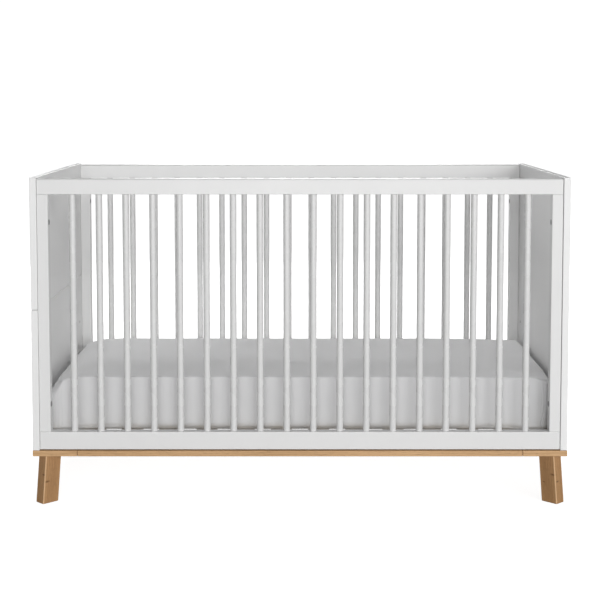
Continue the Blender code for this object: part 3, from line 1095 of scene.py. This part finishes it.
def crease(points, normals, half):
    """Moves points along their normals: two pleats at each upright corner, and faint waves elsewhere."""
    past = np.abs(points[:, :2]) - (np.array(half[:2]) - MATTRESS_CORNER)
    angle = np.arctan2(np.maximum(past[:, 0], 0), np.maximum(past[:, 1], 1e-6))
    # Distance around the corner, from the end of the long side's flat
    along = np.where(past[:, 0] < 0, past[:, 0], MATTRESS_CORNER * angle)
    height = np.clip((points[:, 2] + half[2]) / (2 * half[2]), 0, 1)
    in_corner = (np.abs(normals[:, 2]) < 0.85) & (past[:, 0] > -0.02) & (past[:, 1] > -0.02)
    # The pleats of the right front corner are the deepest
    depth = np.where(points[:, 0] > 0, np.where(points[:, 1] < 0, 1.8, 0.6), 0.1)
    first = 0.0205 - 0.0170 * ease(1 - height, 0.5, 1.0) - 0.0055 * ease(height, 0.6, 0.9)
    second = 0.0235 - 0.0100 * ease(1 - height, 0.55, 1.0)
    low = ease(1 - height, 0.35, 0.7)
    fade = ease(height, -0.02, 0.06) * (1 - ease(height, 0.86, 0.98))
    # Rise, place and width of each groove or ridge, and how strongly it shows
    folds = (
        (-0.0024, first, 0.0016, 1.0),
        (-0.0026, second, 0.0016, low),
        (0.0012, (first + second) / 2, 0.0030, low),
        (0.0010, first - 0.005, 0.0030, 1.0),
    )
    fold = 0.0
    for rise, place, width, share in folds:
        fold = fold + rise * np.exp(-(((along - place) / width) ** 2)) * share
    moved = np.where(in_corner, fold * fade * depth, 0)
    for i, point in enumerate(points):
        wave = noise.noise(Vector((point[0] * 5.0, point[1] * 7.0, point[2] * 9.0)))
        pucker = 0.0
        if in_corner[i]:
            pucker = noise.noise(Vector((along[i] * 250, 3.7 + point[0] * 2.0, point[2] * 14.0)))
        moved[i] += 0.0007 * wave + 0.0008 * pucker * fade[i]
    return moved


def mattress():
    """A foam mattress in a smooth, close-fitting cover."""
    low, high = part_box("mattress")
    low.x -= MATTRESS_LEFT_GROWTH
    high.x += MATTRESS_RIGHT_GROWTH
    half = list((high - low) / 2)
    half = [half[0] - 0.001, half[1] - 0.001, half[2] - 0.0008]
    middle = (low + high) / 2
    xs = lines(half[0], MATTRESS_EDGE, MATTRESS_FINE, MATTRESS_CELL)
    ys = lines(half[1], MATTRESS_EDGE, MATTRESS_CORNER, MATTRESS_CELL)
    zs = lines(half[2], MATTRESS_EDGE, 0.030, 0.009)
    points, quads = shell_of(xs, ys, zs)
    corners = np.where(points[:, 0] < 0, MATTRESS_LEFT_CORNER, MATTRESS_CORNER)
    points = rounded(points, half, corners, edge_radii(points, half))
    height = (points[:, 2] + half[2]) / (2 * half[2])
    resting = points[:, 2] < -half[2] + 0.0005
    tuck = MATTRESS_TUCK * (1 - ease(height, 0.0, 0.25))
    outline = np.abs(points[:, :2]) > np.array(half[:2]) - 0.08
    points[:, :2] -= np.sign(points[:, :2]) * outline * tuck[:, None]
    # The front draws back towards the pleats at its right end
    drawn = MATTRESS_DRAW * ease(points[:, 0], half[0] - 0.090, half[0] - 0.010)
    points[:, 1] += drawn * ease(-points[:, 1], half[1] - 0.100, half[1])
    points[:, 2] -= sink(points, half) * ease(height, 0.1, 1.0)
    mesh = bpy.data.meshes.new("mattress_pad")
    mesh.from_pydata(points.tolist(), [], quads)
    mesh.shade_smooth()
    pad = link_mesh("mattress_pad", mesh, COVER)
    swell(pad, resting)
    pad.modifiers.new("finer", "SUBSURF").levels = 1
    settle(pad)
    pad.data.shade_smooth()
    count = len(pad.data.vertices)
    points = np.zeros(count * 3, np.float32)
    pad.data.vertices.foreach_get("co", points)
    points = points.reshape(-1, 3).astype(float)
    normals = np.array([vertex.normal for vertex in pad.data.vertices])
    points += normals * crease(points, normals, half)[:, None]
    points[:, 2] = np.maximum(points[:, 2], -half[2])
    pad.data.vertices.foreach_set("co", points.astype(np.float32).ravel())
    pad.data.update()
    pad.location = middle
    register(pad, "mattress", "mattress_cover", "mattress")


# -------- stage

FLOOR_REACH = 400.0
# What the camera sees of the floor, near the crib and far from it, and of the backdrop
FLOOR_GLOW = (0.90, 1.02)
FLOOR_FADE = (1.5, 7.0)  # distances between which it changes
BACKDROP_GLOW = 1.05
AMBIENT = 0.015
# Azimuth (0 is the front, and it grows to the right), elevation and strength of each distant light
SUN_SPREAD = 25
SUNS = {
    "front_left_key": (-10, 12, 0.46),
    "front_right_key": (20, 12, 0.86),
    "right_key": (35, 12, 0.24),
    "overhead": (0, 70, 0.15),
}
# Azimuth, elevation and watts of each softbox
SOFTBOX_DISTANCE = 5.0
SOFTBOX_SIZE = 2.0
SOFTBOX_AIM = (0.0, 0.0, 0.45)
SOFTBOXES = {
    "front": (0, 4, 58.0),
    "right": (45, 8, 32.0),
    "back": (180, 8, 13.5),
    "back_left": (-150, 8, 33.0),
    "back_top": (180, 35, 165.0),
}


def camera():
    data = bpy.data.cameras.new("camera")
    data.lens = CAMERA_LENS
    data.sensor_width = 36
    data.shift_y = CAMERA_SHIFT
    eye = bpy.data.objects.new("camera", data)
    eye.location = CAMERA_PLACE
    eye.rotation_euler = (math.radians(90 - CAMERA_PITCH), 0, 0)
    link(eye)
    bpy.context.scene.camera = eye


def lamp(name, kind, azimuth, elevation, strength):
    """A light that shines on the crib from a direction given in degrees."""
    data = bpy.data.lights.new(name, kind)
    data.energy = strength
    light = bpy.data.objects.new(name, data)
    light.rotation_euler = (math.radians(90 - elevation), 0, math.radians(azimuth))
    link(light)
    return light


def lights():
    for name, (azimuth, elevation, strength) in SUNS.items():
        lamp(name, "SUN", azimuth, elevation, strength).data.angle = math.radians(SUN_SPREAD)
    for name, (azimuth, elevation, strength) in SOFTBOXES.items():
        box = lamp(name, "AREA", azimuth, elevation, strength)
        box.data.size = SOFTBOX_SIZE
        away = box.rotation_euler.to_matrix() @ Vector((0, 0, SOFTBOX_DISTANCE))
        box.location = Vector(SOFTBOX_AIM) + away


def surroundings():
    """White for the camera, dimmer for the light that the crib receives."""
    world = bpy.data.worlds.new("studio")
    bpy.context.scene.world = world
    world.use_nodes = True
    tree = world.node_tree
    rays = tree.nodes.new("ShaderNodeLightPath")
    mix = tree.nodes.new("ShaderNodeMixShader")
    tree.links.new(rays.outputs["Is Camera Ray"], mix.inputs[0])
    ambient, seen = tree.nodes["Background"], tree.nodes.new("ShaderNodeBackground")
    for socket, background, strength in ((1, ambient, AMBIENT), (2, seen, BACKDROP_GLOW)):
        background.inputs["Color"].default_value = (1, 1, 1, 1)
        background.inputs["Strength"].default_value = strength
        tree.links.new(background.outputs[0], mix.inputs[socket])
    tree.links.new(mix.outputs[0], tree.nodes["World Output"].inputs["Surface"])


def floor():
    """A pale floor that shows almost white, with a soft contact shadow, and lights the crib as plain grey."""
    mesh = bpy.data.meshes.new("floor")
    corners = [(-FLOOR_REACH, -FLOOR_REACH, 0), (FLOOR_REACH, -FLOOR_REACH, 0)]
    corners += [(FLOOR_REACH, FLOOR_REACH, 0), (-FLOOR_REACH, FLOOR_REACH, 0)]
    mesh.from_pydata(corners, [], [(0, 1, 2, 3)])
    s = Shader("pale_floor")
    place = s.place()
    grit = s.noise(place, 60.0, 3.0)
    tone = s.blend(grit, colour(0.50, 0.50, 0.50), colour(0.53, 0.53, 0.53))
    glow = s.remap(s.length(place), *FLOOR_FADE, *FLOOR_GLOW)
    seen = s.node("LightPath", {}, output="Is Camera Ray")
    s.finish(
        Base_Color=tone,
        Roughness=0.9,
        Specular_IOR_Level=0.0,
        Emission_Color=colour(1, 1, 1),
        Emission_Strength=s.math("MULTIPLY", seen, glow),
    )
    link_mesh("floor", mesh, s.material)


NODES = frame["nodes"]
camera()
bpy.context.scene.view_settings.view_transform = "Standard"
end_panels()
panel_inserts()
seam_dowels()
for long_side in ("front", "back"):
    rails(long_side)
    stiles(long_side)
    rungs(long_side)
side_bolts()
plinth()
legs()
leg_screws()
joint_plates()
bearers()
slats()
slat_sleeves()
tapes()
staples()
base_brackets()
mattress()
surroundings()
floor()
lights()
